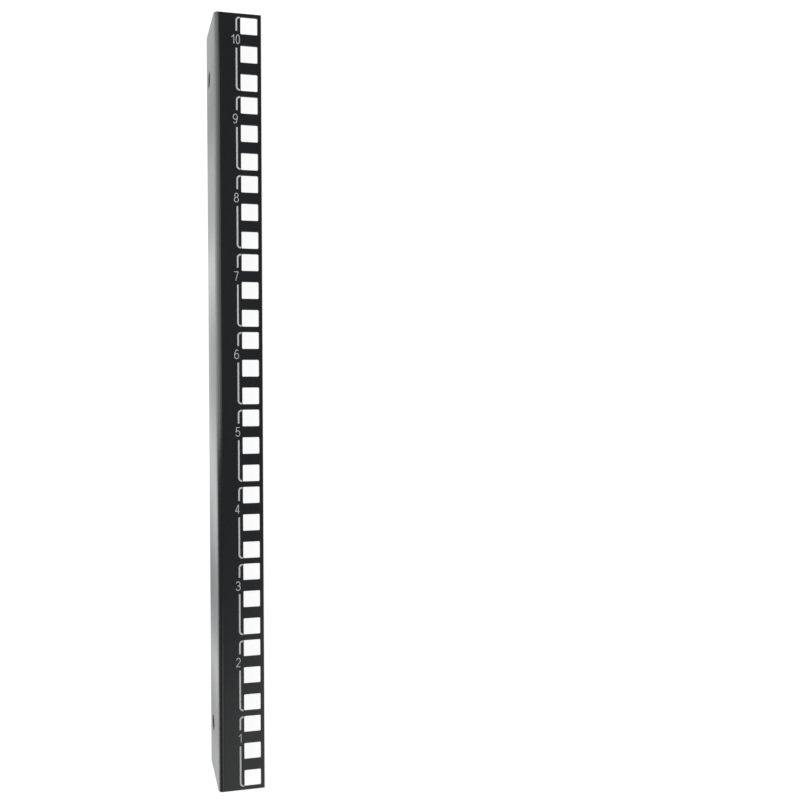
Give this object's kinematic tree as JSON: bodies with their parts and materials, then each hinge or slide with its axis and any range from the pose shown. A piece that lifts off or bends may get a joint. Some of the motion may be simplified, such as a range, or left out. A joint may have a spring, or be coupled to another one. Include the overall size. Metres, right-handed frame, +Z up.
{
  "type": "rack mounting rail",
  "caption": "L-section sheet steel rail with a column of square cage nut holes in its front flange and two oblong fixing holes in its web.",
  "frame": {"origin": "on the floor under the middle of the rail, at the centre of its bounding box", "axes": "+X along the rail towards its top end, where unit 10 is; +Z up; the front flange faces -Y and up, and the web leans back towards +Y with its outer face up. The rail lies on its two long free edges with the bend on top."},
  "size_m": [0.4454, 0.0564, 0.0233],
  "materials": {
    "black_powder_coat": "satin black powder coat",
    "print_ink": "light grey screen-printed ink"
  },
  "bodies": {
    "root": {"rack_rail": "black_powder_coat"}
  },
  "joints": []
}
